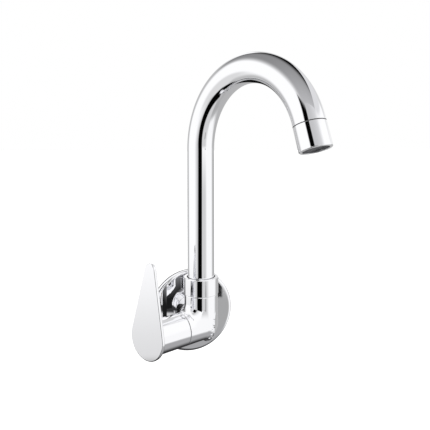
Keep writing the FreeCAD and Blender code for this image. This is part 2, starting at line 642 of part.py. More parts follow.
for thing in doc.Objects:
    if "Invalid" in thing.State or "Error" in thing.State:
        raise RuntimeError(f"{thing.Label} failed: {thing.State}")
for node in nodes:
    if node.Shape.isNull() or not node.Shape.isValid():
        raise RuntimeError(f"{node.Label} has no valid shape")

os.makedirs("parts", exist_ok=True)
for node in nodes:
    node.Shape.exportStep(f"parts/{node.Label}.step")
    print(f"{node.Label}: {len(node.Shape.Solids)} solid, {node.Shape.Volume:.1f} mm3")
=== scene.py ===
import math
import bpy
import numpy as np
from mathutils import Matrix, Vector


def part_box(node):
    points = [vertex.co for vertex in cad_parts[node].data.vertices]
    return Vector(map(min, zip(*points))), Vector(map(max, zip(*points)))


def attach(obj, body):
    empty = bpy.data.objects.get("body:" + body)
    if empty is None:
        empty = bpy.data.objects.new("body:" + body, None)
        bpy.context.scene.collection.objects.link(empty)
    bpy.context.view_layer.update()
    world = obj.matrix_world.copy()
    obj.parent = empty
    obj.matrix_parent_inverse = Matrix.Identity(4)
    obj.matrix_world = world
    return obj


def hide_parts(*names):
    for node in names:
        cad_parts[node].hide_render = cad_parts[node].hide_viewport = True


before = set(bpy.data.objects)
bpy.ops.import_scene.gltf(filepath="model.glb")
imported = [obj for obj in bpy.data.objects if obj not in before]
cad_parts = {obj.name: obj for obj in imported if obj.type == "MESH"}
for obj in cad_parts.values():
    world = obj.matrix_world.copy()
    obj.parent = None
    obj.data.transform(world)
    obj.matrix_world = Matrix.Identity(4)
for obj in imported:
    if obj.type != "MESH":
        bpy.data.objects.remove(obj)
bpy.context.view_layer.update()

# Inlet shank: a turned brass pipe end that screws into the pipe in the wall.
# Its half-inch pipe thread is cut on a lathe, and the other end is screwed into the elbow.
mm = 0.001
same_spot = mm / 1000
smooth_angle = math.radians(32)
inlet_frame = Matrix.Rotation(math.radians(-90), 4, "X")
pipe_thread_od = 20.955 * mm
pipe_thread_pitch = 1.814 * mm
pipe_thread_depth = 1.162 * mm
pipe_thread_length = 15 * mm
thread_start = 0.5 * mm
thread_turns = 7
thread_sink = 0.3 * mm
thread_gap = 0.1 * mm
half_crest = 0.05 * mm
shank_od = 20.4 * mm
shank_start = -22.5 * mm
shank_bore = 14 * mm
strainer_seat_od = 16.5 * mm
strainer_seat_depth = 2 * mm


def rounded_outline(corners, steps=6):
    """The points of a closed outline; each corner is (across, along, radius of its round).
    A point close to each end of a round keeps the straights beside it straight in the light."""
    spots = [Vector(corner[:2]) for corner in corners]
    count = len(corners)
    sides = [spots[(index + 1) % count] - spots[index] for index in range(count)]
    halves = [math.pi / 2 - abs(sides[index - 1].angle_signed(sides[index])) / 2 for index in range(count)]
    reaches = [corner[2] / math.tan(half) for corner, half in zip(corners, halves)]
    points = []
    for index, here in enumerate(spots):
        radius = corners[index][2]
        if radius == 0:
            points.append(here)
            continue
        back = -sides[index - 1].normalized()
        onward = sides[index].normalized()
        centre = here + (back + onward).normalized() * radius / math.sin(halves[index])
        start = here + back * reaches[index]
        end = here + onward * reaches[index]
        sweep = (start - centre).angle_signed(end - centre)
        aside = radius / 4
        if sides[index - 1].length > reaches[index - 1] + reaches[index] + 3 * aside:
            points.append(start + back * aside)
        for step in range(steps + 1):
            turn = Matrix.Rotation(-sweep * step / steps, 2)
            points.append(centre + turn @ (start - centre))
        if sides[index].length > reaches[index] + reaches[(index + 1) % count] + 3 * aside:
            points.append(end + onward * aside)
    return points


def draw_outline(name, points):
    """A closed line of edges in the XZ plane, drawn from one point to the next."""
    bpy.ops.object.select_all(action="DESELECT")
    bpy.ops.mesh.primitive_plane_add(size=mm)
    piece = bpy.context.object
    piece.name = name
    bpy.ops.object.mode_set(mode="EDIT")
    bpy.ops.mesh.merge(type="CENTER")
    bpy.ops.transform.translate(value=(points[0][0], 0, points[0][1]))
    for start, end in zip(points, points[1:] + points[:1]):
        step = (end[0] - start[0], 0, end[1] - start[1])
        bpy.ops.mesh.extrude_vertices_move(TRANSFORM_OT_translate={"value": step})
    bpy.ops.mesh.select_all(action="SELECT")
    bpy.ops.mesh.remove_doubles(threshold=same_spot)
    return piece


def turn_on_lathe(name, points, place, steps=128):
    """The outline turned a full round about Z, then set in its place."""
    piece = draw_outline(name, points)
    bpy.ops.mesh.spin(steps=steps, angle=2 * math.pi, center=(0, 0, 0), axis=(0, 0, 1))
    bpy.ops.mesh.select_all(action="SELECT")
    bpy.ops.mesh.remove_doubles(threshold=same_spot)
    bpy.ops.mesh.normals_make_consistent(inside=False)
    bpy.ops.object.mode_set(mode="OBJECT")
    return settle(piece, place)


def settle(piece, place):
    """Puts the piece in its place, with that place kept in its mesh."""
    piece.matrix_world = place
    bpy.ops.object.select_all(action="DESELECT")
    piece.select_set(True)
    bpy.context.view_layer.objects.active = piece
    bpy.ops.object.transform_apply(location=True, rotation=True, scale=True)
    bpy.ops.object.shade_smooth_by_angle(angle=smooth_angle)
    return piece


def join(pieces):
    bpy.ops.object.select_all(action="DESELECT")
    for piece in pieces:
        piece.select_set(True)
    bpy.context.view_layer.objects.active = pieces[0]
    bpy.ops.object.join()
    return pieces[0]


def new_material(name, colour, metallic, roughness):
    material = bpy.data.materials.new(name)
    material.use_nodes = True
    shader = material.node_tree.nodes["Principled BSDF"]
    shader.inputs["Base Color"].default_value = (*colour, 1)
    shader.inputs["Metallic"].default_value = metallic
    shader.inputs["Roughness"].default_value = roughness
    return material, material.node_tree, shader


def grain(tree, scale, detail, stretch=(1, 1, 1)):
    """Noise on the piece's own coordinates; gives its value from 0 to 1."""
    place = tree.nodes.new("ShaderNodeTexCoord")
    mapping = tree.nodes.new("ShaderNodeMapping")
    mapping.inputs["Scale"].default_value = stretch
    noise = tree.nodes.new("ShaderNodeTexNoise")
    noise.inputs["Scale"].default_value = scale
    noise.inputs["Detail"].default_value = detail
    tree.links.new(place.outputs["Object"], mapping.inputs["Vector"])
    tree.links.new(mapping.outputs["Vector"], noise.inputs["Vector"])
    return noise.outputs["Fac"]


noise_low = 0.3
noise_high = 0.7


def vary(tree, source, socket, low, high):
    """Lets a texture move a shader value between two limits."""
    spread = tree.nodes.new("ShaderNodeMapRange")
    spread.inputs["From Min"].default_value = noise_low
    spread.inputs["From Max"].default_value = noise_high
    spread.inputs["To Min"].default_value = low
    spread.inputs["To Max"].default_value = high
    tree.links.new(source, spread.inputs["Value"])
    tree.links.new(spread.outputs["Result"], socket)


def relief(tree, source, shader, strength, distance):
    bump = tree.nodes.new("ShaderNodeBump")
    bump.inputs["Strength"].default_value = strength
    bump.inputs["Distance"].default_value = distance
    tree.links.new(source, bump.inputs["Height"])
    tree.links.new(bump.outputs["Normal"], shader.inputs["Normal"])


def shade(tree, source, shader, dark, light):
    """Lets a texture move the base colour between two colours."""
    ramp = tree.nodes.new("ShaderNodeValToRGB")
    ramp.color_ramp.elements[0].position = noise_low
    ramp.color_ramp.elements[0].color = (*dark, 1)
    ramp.color_ramp.elements[1].position = noise_high
    ramp.color_ramp.elements[1].color = (*light, 1)
    tree.links.new(source, ramp.inputs["Fac"])
    tree.links.new(ramp.outputs["Color"], shader.inputs["Base Color"])


def fit(piece, material, node, body):
    """Gives the piece its finish, and lets it stand for a solid of the tap."""
    piece.data.materials.clear()
    piece.data.materials.append(material)
    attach(piece, body)
    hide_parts(node)


def dress(material, *nodes):
    for node in nodes:
        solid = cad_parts[node]
        solid.data.materials.clear()
        solid.data.materials.append(material)


turned_brass, tree, shader = new_material("turned_brass", (0.72, 0.55, 0.28), 1.0, 0.28)
cut_marks = grain(tree, 260, 3, (1, 14, 1))
shade(tree, cut_marks, shader, (0.62, 0.46, 0.22), (0.78, 0.60, 0.32))
vary(tree, cut_marks, shader.inputs["Roughness"], 0.2, 0.36)
relief(tree, cut_marks, shader, 0.12, 0.02 * mm)

core_od = pipe_thread_od - 2 * pipe_thread_depth
shank_core = turn_on_lathe("shank_core", rounded_outline([
    (shank_bore / 2, shank_start, 0),
    (shank_od / 2, shank_start, 0.6 * mm),
    (shank_od / 2, -0.6 * mm, 0.2 * mm),
    (core_od / 2, 0, 0),
    (core_od / 2, pipe_thread_length, 0.5 * mm),
    (strainer_seat_od / 2, pipe_thread_length, 0.2 * mm),
    (strainer_seat_od / 2, pipe_thread_length - strainer_seat_depth, 0),
    (shank_bore / 2, pipe_thread_length - strainer_seat_depth, 0)]), inlet_frame, 96)
ridge = draw_outline("shank_thread", rounded_outline([
    (core_od / 2 - thread_sink, thread_gap, 0),
    (core_od / 2 - thread_sink, pipe_thread_pitch - thread_gap, 0),
    (core_od / 2, pipe_thread_pitch - thread_gap, 0),
    (pipe_thread_od / 2, pipe_thread_pitch / 2 + half_crest, 0.24 * mm),
    (pipe_thread_od / 2, pipe_thread_pitch / 2 - half_crest, 0.02 * mm),
    (core_od / 2, thread_gap, 0)], 3))
bpy.ops.object.mode_set(mode="OBJECT")
winding = ridge.modifiers.new("winding", "SCREW")
winding.angle = 2 * math.pi
winding.screw_offset = pipe_thread_pitch
winding.iterations = thread_turns
winding.steps = 64
winding.render_steps = 64
bpy.ops.object.modifier_apply(modifier="winding")
bpy.ops.object.mode_set(mode="EDIT")
bpy.ops.mesh.select_all(action="DESELECT")
bpy.ops.mesh.select_mode(type="EDGE")
bpy.ops.mesh.select_non_manifold()
bpy.ops.mesh.edge_face_add()
bpy.ops.mesh.select_all(action="SELECT")
bpy.ops.mesh.normals_make_consistent(inside=False)
bpy.ops.mesh.select_mode(type="VERT")
bpy.ops.object.mode_set(mode="OBJECT")
settle(ridge, inlet_frame @ Matrix.Translation((0, 0, thread_start)))
inlet_shank = join([shank_core, ridge])
inlet_shank.name = "inlet_shank_turned"
fit(inlet_shank, turned_brass, "inlet_shank", "tap_body")

# Strainer and other small stainless pieces: punched and stamped from sheet, left bright.
# The strainer drops into the mouth of the shank; clip and screw hold the lever's spindle.
stainless, tree, shader = new_material("bright_stainless", (0.60, 0.61, 0.62), 1.0, 0.3)
rolling = grain(tree, 420, 3, (1, 1, 9))
shade(tree, rolling, shader, (0.52, 0.53, 0.54), (0.66, 0.67, 0.68))
vary(tree, rolling, shader.inputs["Roughness"], 0.22, 0.38)
relief(tree, rolling, shader, 0.1, 0.01 * mm)
dress(stainless, "inlet_strainer", "spindle_circlip", "lever_grub_screw")

# Flange gasket and sealing rings: soft black rubber, moulded or cut from sheet.
# The gasket sits in the flange's rim against the wall, the rings in their grooves.
black_rubber, tree, shader = new_material("black_rubber", (0.03, 0.03, 0.03), 0.0, 0.75)
skin = grain(tree, 1500, 4)
shade(tree, skin, shader, (0.018, 0.018, 0.018), (0.045, 0.045, 0.046))
vary(tree, skin, shader.inputs["Roughness"], 0.62, 0.85)
relief(tree, skin, shader, 0.35, 0.05 * mm)
dress(black_rubber, "flange_gasket", "spigot_ring_lower", "spigot_ring_upper", "aerator_washer",
      "bonnet_ring", "seat_seal", "spindle_ring_inner", "spindle_ring_outer")

# Wall flange: a shallow cup pressed from thin brass, polished and chromed.
# It slides on the shank, covers the hole in the wall and is held by the elbow's boss.
chrome, tree, shader = new_material("polished_chrome", (0.945, 0.947, 0.965), 1.0, 0.04)
polish = grain(tree, 700, 4)
vary(tree, polish, shader.inputs["Roughness"], 0.018, 0.04)
relief(tree, grain(tree, 60, 1), shader, 0.0015, 0.02 * mm)

flange_od = 74 * mm
flange_face = -4.5 * mm
flange_rim = -1.5 * mm
flange_wall = 1.2 * mm
flange_hole_od = 21.1 * mm
flange_round = 2.8 * mm
wall_flange = turn_on_lathe("wall_flange_pressed", rounded_outline([
    (flange_hole_od / 2, flange_face, 0),
    (flange_od / 2, flange_face, flange_round),
    (flange_od / 2, flange_rim, 0.1 * mm),
    (flange_od / 2 - flange_wall, flange_rim, 0),
    (flange_od / 2 - flange_wall, flange_face + flange_wall, flange_round - flange_wall),
    (flange_hole_od / 2, flange_face + flange_wall, 0)], 10), inlet_frame, 160)
fit(wall_flange, chrome, "wall_flange", "tap_body")

# Elbow: one brass casting, ground, polished and chromed, so its branches meet in soft rounds.
# It is screwed on the shank, and carries the spout on its upper branch and the valve in its left one.
# Polished rounds need a skin that follows one smooth surface, so its points are drawn onto that surface.
riser = Vector((0, -36.5 * mm, 0))
riser_frame = Matrix.Translation(riser)
lever_turn = math.radians(65.8)
lever_axis = Vector((-math.sin(lever_turn), -math.cos(lever_turn), 0))
hub_frame = riser_frame @ Matrix.Rotation(-lever_turn, 4, "Z") @ Matrix.Rotation(math.radians(90), 4, "X")
branch_radius = 13.8
branch_top = 25.9
branch_edge = 0.5
post_foot = -0.2
corner_radius = 13.0
neck_radius = 12.4
neck_top = 32.2
hub_radius = 13.2
hub_reach = 20.0
hub_edge = 0.4
boss_radius = 13.0
boss_reach = 32.0
ring_radius = 15.0
ring_start = 19.0
ring_round = 1.0
ring_fillet = 1.0
hub_flank_fillet = 16.0
hub_top_fillet = 5.5
hub_top_spread = 3.5
least_fillet = 0.1
boss_fillet = 4.0
least_boss_share = 0.02
spigot_bore = (9.38 * mm, 14.5 * mm, 40 * mm)
bonnet_bore = (10.5275 * mm, 6 * mm, 24 * mm)
shank_socket = (10.25 * mm, 14 * mm, 34 * mm)
slope_step = 0.02
skin_grip = 0.02
skin_rounds = 8
longest_move = 0.6


def round_edge(first, second, radius):
    """What lies inside both skins, with a round of this radius on the edge."""
    corner = np.hypot(np.maximum(radius + first, 0), np.maximum(radius + second, 0))
    return np.minimum(-radius, np.maximum(first, second)) + corner


def slope(skin, points):
    """The way straight out of a skin at each point."""
    ways = np.empty_like(points)
    for axis in range(3):
        step = np.zeros(3)
        step[axis] = slope_step
        ways[:, axis] = skin(points + step) - skin(points - step)
    return ways / np.maximum(np.linalg.norm(ways, axis=1, keepdims=True), 1e-9)


def run_together(first, second, soft):
    """Two skins joined, with a round that starts this far from each."""
    gap = np.hypot(np.maximum(soft - first, 0), np.maximum(soft - second, 0))
    return np.maximum(soft, np.minimum(first, second)) - gap


def post_skin(points):
    """How far points stand outside the post, in millimetres from the riser's axis."""
    x, y, z = points.T
    across = np.maximum(np.hypot(x, y) - branch_radius + corner_radius, 0)
    below = np.minimum(z + hub_radius - corner_radius, 0)
    return np.hypot(across, below) - corner_radius


def hub_skin(points):
    x, y, z = points.T
    along = x * lever_axis.x + y * lever_axis.y
    beside = x * lever_axis.y - y * lever_axis.x
    return np.maximum(np.hypot(beside, z) - hub_radius, -along)


def boss_skin(points):
    x, y, z = points.T
    return np.maximum(np.hypot(x, z) - boss_radius, -y)


def ring_skin(points):
    x, y, z = points.T
    return round_edge(np.hypot(x, z) - ring_radius, ring_start - y, ring_round)


def fork_skin(points):
    return np.minimum(post_skin(points), hub_skin(points))


def casting_skin(points):
    """The whole casting. Its rounds are smaller where two branches already run the same way,
    and its three ends are cut off with their edges eased."""
    x, y, z = points.T
    same_way = np.sum(slope(post_skin, points) * slope(hub_skin, points), axis=1)
    soft = np.minimum(hub_flank_fillet * (1 - same_way), hub_top_fillet + hub_top_spread * same_way)
    skin = run_together(post_skin(points), hub_skin(points), np.maximum(soft, least_fillet))
    same_way = np.sum(slope(fork_skin, points) * slope(boss_skin, points), axis=1)
    skin = run_together(skin, boss_skin(points), boss_fillet * np.clip(1 - same_way, least_boss_share, 1))
    skin = run_together(skin, ring_skin(points), ring_fillet)
    skin = round_edge(skin, z - branch_top, branch_edge)
    skin = round_edge(skin, x * lever_axis.x + y * lever_axis.y - hub_reach, hub_edge)
    skin = np.maximum(skin, y - boss_reach)
    neck = np.maximum(np.maximum(np.hypot(x, y) - neck_radius, z - neck_top), -z)
    return np.minimum(skin, neck)


def add_rod(radius, start, end, place, sides=64):
    """A cylinder primitive along the Z axis of its place, from start to end."""
    bpy.ops.object.select_all(action="DESELECT")
    middle = place @ Matrix.Translation((0, 0, (start + end) / 2))
    bpy.ops.mesh.primitive_cylinder_add(vertices=sides, radius=radius, depth=end - start)
    rod = bpy.context.object
    return settle(rod, middle)


def bore(piece, tool):
    """Drills the tool's shape out of the piece."""
    drill = piece.modifiers.new("drill", "BOOLEAN")
    drill.object = tool
    drill.solver = "EXACT"
    bpy.ops.object.select_all(action="DESELECT")
    bpy.context.view_layer.objects.active = piece
    bpy.ops.object.modifier_apply(modifier="drill")
    bpy.data.objects.remove(tool)


bpy.ops.object.select_all(action="DESELECT")
bpy.ops.mesh.primitive_uv_sphere_add(segments=64, ring_count=32, radius=corner_radius * mm,
                                     location=riser + Vector((0, 0, (corner_radius - hub_radius) * mm)))
elbow = settle(bpy.context.object, bpy.context.object.matrix_world.copy())
boss_frame = riser_frame @ inlet_frame
elbow = join([
    elbow,
    add_rod(branch_radius * mm, post_foot * mm, branch_top * mm, riser_frame),
    add_rod(neck_radius * mm, 0, neck_top * mm, riser_frame),
    add_rod(hub_radius * mm, 0, hub_reach * mm, hub_frame),
    add_rod(boss_radius * mm, 0, boss_reach * mm, boss_frame),
    add_rod(ring_radius * mm, ring_start * mm, boss_reach * mm, boss_frame)])
elbow.name = "elbow_casting"
skinning = elbow.modifiers.new("skinning", "REMESH")
skinning.mode = "VOXEL"
skinning.voxel_size = 0.55 * mm
bpy.ops.object.modifier_apply(modifier="skinning")
count = len(elbow.data.vertices)
spots = np.empty(count * 3)
elbow.data.vertices.foreach_get("co", spots)
spots = (spots.reshape(-1, 3) - np.array(riser)) / mm
for _ in range(skin_rounds):
    move = np.clip(casting_skin(spots), -longest_move, longest_move)
    spots -= move[:, None] * slope(casting_skin, spots)
elbow.data.vertices.foreach_set("co", (spots * mm + np.array(riser)).ravel())
elbow.data.update()
bore(elbow, add_rod(*spigot_bore, riser_frame))
bore(elbow, add_rod(*bonnet_bore, hub_frame))
bore(elbow, add_rod(*shank_socket, boss_frame))
settle(elbow, Matrix.Identity(4))
spots = np.array([vertex.co for vertex in elbow.data.vertices])
spots = (spots - np.array(riser)) / mm
on_skin = np.abs(casting_skin(spots)) < skin_grip
slopes = slope(casting_skin, spots)
elbow.data.normals_split_custom_set_from_vertices(
    [way if outside else (0, 0, 0) for way, outside in zip(slopes.tolist(), on_skin)])
fit(elbow, chrome, "elbow_body", "tap_body")

# Spout tube: drawn brass tube, bent to a gooseneck, polished and chromed.
# It is brazed on the spigot, which turns in the elbow's upper branch.
spout_swing = math.radians(22.7)
spout_frame = riser_frame @ Matrix.Rotation(spout_swing - math.pi / 2, 4, "Z")
tube_od = 22 * mm
tube_wall = 1.2 * mm
bend_radius = 58.7 * mm
bend_height = 145 * mm
bend_angle = math.radians(162)
bare_end = 1.5 * mm
tube_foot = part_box("spout_tube")[0].z
outlet_frame = spout_frame @ Matrix.Translation(
    (bend_radius * (1 - math.cos(bend_angle)), 0, bend_height + bend_radius * math.sin(bend_angle)))
outlet_frame = outlet_frame @ Matrix.Rotation(bend_angle, 4, "Y")

bpy.ops.object.select_all(action="DESELECT")
bpy.ops.mesh.primitive_circle_add(vertices=96, radius=tube_od / 2, location=(0, 0, tube_foot))
spout_tube = bpy.context.object
spout_tube.name = "spout_tube_bent"
bpy.ops.object.transform_apply(location=True)
bpy.ops.object.mode_set(mode="EDIT")
bpy.ops.mesh.select_all(action="SELECT")
bpy.ops.mesh.extrude_region_move(TRANSFORM_OT_translate={"value": (0, 0, bend_height - tube_foot)})
bpy.ops.mesh.spin(steps=120, angle=bend_angle, center=(bend_radius, 0, bend_height), axis=(0, -1, 0))
mouth_way = Vector((math.sin(bend_angle), 0, math.cos(bend_angle)))
bpy.ops.mesh.extrude_region_move(TRANSFORM_OT_translate={"value": mouth_way * bare_end})
bpy.ops.mesh.select_all(action="SELECT")
bpy.ops.mesh.remove_doubles(threshold=same_spot)
bpy.ops.mesh.normals_make_consistent(inside=False)
bpy.ops.object.mode_set(mode="OBJECT")
wall = spout_tube.modifiers.new("wall", "SOLIDIFY")
wall.thickness = tube_wall
wall.offset = -1
bpy.ops.object.modifier_apply(modifier="wall")
settle(spout_tube, spout_frame)
fit(spout_tube, chrome, "spout_tube", "spout")

# Spout spigot, outlet nipple and the valve's turned parts: bare brass, cut on a lathe.
# They sit inside the casting, the tube and the lever, screwed or brazed in.
dress(turned_brass, "spout_spigot", "outlet_nipple", "headwork_bonnet", "valve_spindle")

# Low-friction washers: stamped from white plastic, loose between the faces that turn.
# Two guide the spigot's flange, one lies over the foot of the spindle.
white_plastic, tree, shader = new_material("white_plastic", (0.86, 0.86, 0.84), 0.0, 0.42)
moulding = grain(tree, 800, 3)
shade(tree, moulding, shader, (0.82, 0.82, 0.80), (0.89, 0.89, 0.87))
vary(tree, moulding, shader.inputs["Roughness"], 0.36, 0.5)
relief(tree, moulding, shader, 0.08, 0.02 * mm)
dress(white_plastic, "spout_glide_washer", "spout_thrust_washer", "spindle_washer")

# Spout collar: turned brass ring, chromed, with a small round on its upper edge.
# It is screwed on the elbow's neck and holds the spout's flange down.
collar_od = 28.6 * mm
collar_low = 25.9 * mm
collar_top = 39.8 * mm
collar_bore_od = 24.9 * mm
collar_shoulder = 36.65 * mm
collar_hole_od = 23.6 * mm
spout_collar = turn_on_lathe("spout_collar_turned", rounded_outline([
    (collar_bore_od / 2, collar_low, 0),
    (collar_od / 2, collar_low, 0.35 * mm),
    (collar_od / 2, collar_top, 0.6 * mm),
    (collar_hole_od / 2, collar_top, 0.2 * mm),
    (collar_hole_od / 2, collar_shoulder, 0),
    (collar_bore_od / 2, collar_shoulder, 0)]), riser_frame)
fit(spout_collar, chrome, "spout_collar", "tap_body")

# Collar wiper: a thin black rubber ring pressed into the collar's mouth, close round the tube.
# It keeps water out of the swivel, and shows as the dark line at the foot of the tube; that black is the
# rubber's own and also painted shade, standing in for the shade in the gap between tube and collar.
wiper_top = collar_top - 0.25 * mm
wiper_foot = wiper_top - 1.6 * mm
wiper_inside = tube_od / 2 + 0.05 * mm
collar_wiper = turn_on_lathe("collar_wiper", rounded_outline([
    (wiper_inside, wiper_foot, 0),
    (collar_hole_od / 2, wiper_foot, 0),
    (collar_hole_od / 2, wiper_top, 0.15 * mm),
    (wiper_inside, wiper_top, 0.15 * mm)], 3), riser_frame, 96)
collar_wiper.data.materials.append(black_rubber)
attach(collar_wiper, "tap_body")

# Nozzle sleeve: turned brass sleeve, chromed, screwed over the nipple at the tube's end.
# A thin lip turned inwards at its mouth holds the aerator.
nozzle_bore_od = 19.3 * mm
nozzle_start = 1.5 * mm
nozzle_end = 18.9 * mm
nozzle_lip_od = 17.8 * mm
nozzle_lip = 1.2 * mm
joint_ring = 0.5 * mm
nozzle_sleeve = turn_on_lathe("nozzle_sleeve_turned", rounded_outline([
    (nozzle_bore_od / 2, nozzle_start + joint_ring, 0),
    (tube_od / 2, nozzle_start + joint_ring, 0.2 * mm),
    (tube_od / 2, nozzle_end, 0.7 * mm),
    (nozzle_lip_od / 2, nozzle_end, 0.3 * mm),
    (nozzle_lip_od / 2, nozzle_end - nozzle_lip, 0),
    (nozzle_bore_od / 2, nozzle_end - nozzle_lip, 0)]), outlet_frame)
fit(nozzle_sleeve, chrome, "nozzle_sleeve", "spout")

# Joint ring: a thin flat rubber ring between the end of the tube and the sleeve.
# The sleeve clamps it when it is screwed home, and it shows as a fine dark line: its black is the rubber's
# own and also painted shade, standing in for the shade in the joint's gap.
joint_ring_outside = tube_od / 2 - 0.1 * mm
nozzle_ring = turn_on_lathe("nozzle_joint_ring", rounded_outline([
    (nozzle_bore_od / 2, nozzle_start, 0),
    (joint_ring_outside, nozzle_start, 0.1 * mm),
    (joint_ring_outside, nozzle_start + joint_ring, 0.1 * mm),
    (nozzle_bore_od / 2, nozzle_start + joint_ring, 0)], 3), outlet_frame, 96)
nozzle_ring.data.materials.append(black_rubber)
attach(nozzle_ring, "spout")

# Aerator: a moulded plastic jet former with a woven stainless screen at its outer end.
# Both are pressed into the nozzle's sleeve, and the lip holds them there.
grey_plastic, tree, shader = new_material("grey_plastic", (0.2, 0.2, 0.21), 0.0, 0.5)
moulding = grain(tree, 900, 3)
shade(tree, moulding, shader, (0.17, 0.17, 0.18), (0.23, 0.23, 0.24))
vary(tree, moulding, shader.inputs["Roughness"], 0.42, 0.6)
relief(tree, moulding, shader, 0.12, 0.02 * mm)
dress(grey_plastic, "aerator_insert", "screw_cap")

screen_od = 18.8 * mm
screen_middle = 17.1 * mm
wire_od = 0.3 * mm
wire_pitch = 0.9 * mm
wire_reach = screen_od / 2 - 0.3 * mm
wires_beside = 10
rim_inside = screen_od / 2 - 0.8 * mm
rim_half = 0.5 * mm
wires = []
for across in (0, 1):
    turn = outlet_frame @ Matrix.Translation((0, 0, screen_middle + (across - 0.5) * wire_od))
    turn = turn @ Matrix.Rotation(across * math.pi / 2, 4, "Z")
    for index in range(-wires_beside, wires_beside + 1):
        offset = index * wire_pitch
        half = math.sqrt(wire_reach ** 2 - offset ** 2)
        lie = turn @ Matrix.Translation((0, offset, 0)) @ Matrix.Rotation(math.pi / 2, 4, "Y")
        wires.append(add_rod(wire_od / 2, -half, half, lie, 8))
rim = turn_on_lathe("aerator_rim", rounded_outline([
    (rim_inside, screen_middle - rim_half, 0.2 * mm),
    (screen_od / 2, screen_middle - rim_half, 0.1 * mm),
    (screen_od / 2, screen_middle + rim_half, 0.1 * mm),
    (rim_inside, screen_middle + rim_half, 0.2 * mm)], 3), outlet_frame, 64)
aerator_screen = join([rim] + wires)
aerator_screen.name = "aerator_screen_woven"
dark_wire, tree, shader = new_material("dark_wire", (0.2, 0.2, 0.21), 1.0, 0.42)
draw_marks = grain(tree, 600, 3)
shade(tree, draw_marks, shader, (0.15, 0.15, 0.16), (0.27, 0.27, 0.28))
vary(tree, draw_marks, shader.inputs["Roughness"], 0.34, 0.5)
fit(aerator_screen, dark_wire, "aerator_screen", "spout")

# Valve discs: two lapped discs of white ceramic with ports, face to face in the bonnet.
# One is held by the bonnet, the other is turned by the tongue of the spindle.
ceramic, tree, shader = new_material("lapped_ceramic", (0.92, 0.91, 0.89), 0.0, 0.2)
lapping = grain(tree, 1400, 3)
shade(tree, lapping, shader, (0.89, 0.88, 0.86), (0.94, 0.93, 0.91))
vary(tree, lapping, shader.inputs["Roughness"], 0.15, 0.26)
dress(ceramic, "fixed_disc", "moving_disc")

# Lever: one chromed casting, a round sleeve over the valve and a drop-shaped plate across its end.
# It sits on the square of the spindle, and a screw from below, under a plug, clamps it there.
sleeve_start = 20.4 * mm
sleeve_bore_od = 23.8 * mm
sleeve_floor = 31 * mm
sleeve_centre = 0.5 * mm
sleeve_spare = 12 * mm
screw_place = 36 * mm
screw_hole = (2.55 * mm, 2 * mm, 20 * mm)
plate_reach = 53 * mm
plate_slant = math.radians(11)
plate_thickness = 2.8 * mm
plate_low_radius = 17.2 * mm
plate_top_radius = 5.2 * mm
plate_lift = 1.2 * mm
plate_rise = 53.3 * mm
plate_lean = math.radians(4)
plate_low_steps = 48
plate_top_steps = 24
plate_face_area = 100 * mm ** 2
plate_frame = hub_frame @ Matrix.Translation((0, 0, plate_reach)) @ Matrix.Rotation(plate_slant, 4, "Y")
plate_frame = plate_frame @ Matrix.Rotation(-plate_lean, 4, "Z")

lever_sleeve = turn_on_lathe("lever_sleeve", rounded_outline([
    (sleeve_centre, sleeve_floor, 0),
    (sleeve_bore_od / 2, sleeve_floor, 0),
    (sleeve_bore_od / 2, sleeve_start, 0.2 * mm),
    (hub_radius * mm, sleeve_start, 0.35 * mm),
    (hub_radius * mm, plate_reach + sleeve_spare, 0),
    (sleeve_centre, plate_reach + sleeve_spare, 0)]), hub_frame)
bpy.ops.object.mode_set(mode="EDIT")
bpy.ops.mesh.select_all(action="SELECT")
plate_way = plate_frame.to_3x3() @ Vector((0, 0, 1))
bpy.ops.mesh.bisect(plane_co=plate_frame.translation - plate_way * plate_thickness / 2, plane_no=plate_way,
                    clear_outer=True, use_fill=True)
bpy.ops.object.mode_set(mode="OBJECT")
screw_way = hub_frame @ Matrix.Translation((0, 0, screw_place)) @ Matrix.Rotation(math.pi / 2, 4, "X")
bore(lever_sleeve, add_rod(*screw_hole, screw_way, 48))
settle(lever_sleeve, Matrix.Identity(4))

lean = math.asin((plate_low_radius - plate_top_radius) / plate_rise)
outline = []
for step in range(plate_low_steps + 1):
    turn = math.pi - lean + step / plate_low_steps * (math.pi + 2 * lean)
    outline.append((plate_low_radius * math.cos(turn), plate_lift + plate_low_radius * math.sin(turn)))
for step in range(plate_top_steps + 1):
    turn = lean + step / plate_top_steps * (math.pi - 2 * lean)
    outline.append((plate_top_radius * math.cos(turn),
                    plate_lift + plate_rise + plate_top_radius * math.sin(turn)))
lever_plate = draw_outline("lever_plate", outline)
bpy.ops.mesh.edge_face_add()
bpy.ops.mesh.extrude_region_move(TRANSFORM_OT_translate={"value": (0, plate_thickness, 0)})
bpy.ops.mesh.select_all(action="SELECT")
bpy.ops.mesh.normals_make_consistent(inside=False)
bpy.ops.object.mode_set(mode="OBJECT")
settle(lever_plate, Matrix.Rotation(-math.pi / 2, 4, "X"))
edges = lever_plate.modifiers.new("edges", "BEVEL")
edges.width = 0.8 * mm
edges.segments = 5
edges.limit_method = "ANGLE"
edges.angle_limit = math.radians(50)
bpy.ops.object.modifier_apply(modifier="edges")
for face in lever_plate.data.polygons:
    face.select = face.area > plate_face_area
bpy.ops.object.mode_set(mode="EDIT")
bpy.ops.mesh.select_mode(type="FACE")
bpy.ops.mesh.inset(thickness=0.3 * mm, depth=0)
bpy.ops.mesh.select_mode(type="VERT")
bpy.ops.object.mode_set(mode="OBJECT")
settle(lever_plate, plate_frame)
lever_handle = join([lever_plate, lever_sleeve])
lever_handle.name = "lever_handle_cast"
fit(lever_handle, chrome, "lever_handle", "lever")

